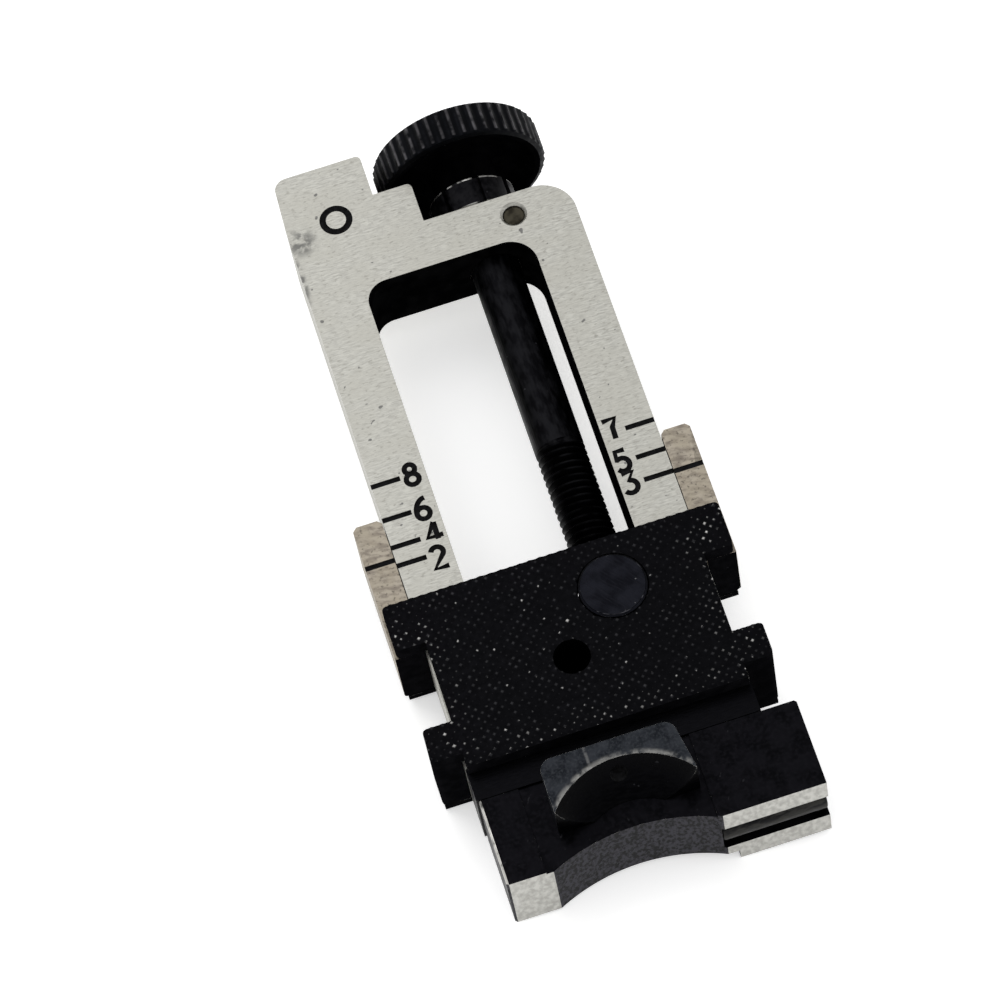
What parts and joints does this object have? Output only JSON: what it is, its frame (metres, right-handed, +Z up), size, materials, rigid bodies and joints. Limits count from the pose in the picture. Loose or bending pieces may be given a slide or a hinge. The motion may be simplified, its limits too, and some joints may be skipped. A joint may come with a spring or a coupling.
{
  "type": "adjustable peep sight leaf",
  "caption": "Slotted steel sight leaf with a checkered peep slide that a knurled screw drives along a numbered scale, and a black foot with a fixed aperture lug.",
  "frame": {"origin": "centre of the part's box on the surface that it lies on", "axes": "+Y along the leaf towards the knurled head, +X to the right seen from the front, +Z up out of the front face; the leaf itself leans 4.1 degrees about Y and 2.1 degrees about X, because it lies on its foot and on the knurled head"},
  "size_m": [0.0252, 0.0576, 0.0123],
  "materials": {
    "bare_steel": "satin bare steel, fine cross grain, light pitting, black stamped scale",
    "brown_pin": "dull brown steel",
    "blued_steel": "near-black blued steel, faint violet tint, worn edges",
    "black_knurl": "black knurled steel with rubbed ridges",
    "checkered_blue": "black steel cut with fine diamond checkering",
    "nut_blue": "smooth blue-black steel with fine scratches",
    "worn_blue": "worn grey-blue steel with bright edges",
    "patina_steel": "brown-grey mottled patina",
    "grey_steel": "dull grey steel",
    "spring_steel": "bright spring steel"
  },
  "bodies": {
    "leaf": {"leaf_frame": "bare_steel", "cross_pin": "brown_pin", "foot_block": "blued_steel", "foot_key": "grey_steel", "foot_pin_left": "grey_steel", "foot_pin_right": "grey_steel", "fixed_aperture": "worn_blue", "detent_spring": "spring_steel"},
    "screw": {"elevation_screw": "blued_steel", "knurled_head": "black_knurl", "head_pin": "grey_steel"},
    "slide": {"slide_plate": "checkered_blue", "index_wing_left": "patina_steel", "index_wing_right": "patina_steel", "barrel_nut": "nut_blue", "rear_keeper": "blued_steel", "keeper_screw_1": "grey_steel", "keeper_screw_2": "grey_steel", "keeper_screw_3": "grey_steel", "keeper_screw_4": "grey_steel"},
    "detent": {"detent_plunger": "spring_steel"}
  },
  "joints": [
    {"name": "elevation_screw_turn", "type": "hinge", "parent": "leaf", "child": "screw", "pos_m": [0.00314, 0.00128, 0.00521], "axis": [-0.0013, 0.9993, 0.037], "range_deg": [-5240, 790]},
    {"name": "slide_travel", "type": "slide", "parent": "leaf", "child": "slide", "axis": [-0.0013, 0.9993, 0.037], "range_m": [-0.0012, 0.008]},
    {"name": "detent_click", "type": "slide", "parent": "leaf", "child": "detent", "axis": [-0.0013, 0.9993, 0.037], "range_m": [-0.00025, 0], "stiffness_N_per_m": 200, "springref_m": 0.0005, "deforming": ["detent_spring"]}
  ],
  "couplings": [
    {"joint": "elevation_screw_turn", "follows": "slide_travel", "rad_per_m": -11424}
  ]
}
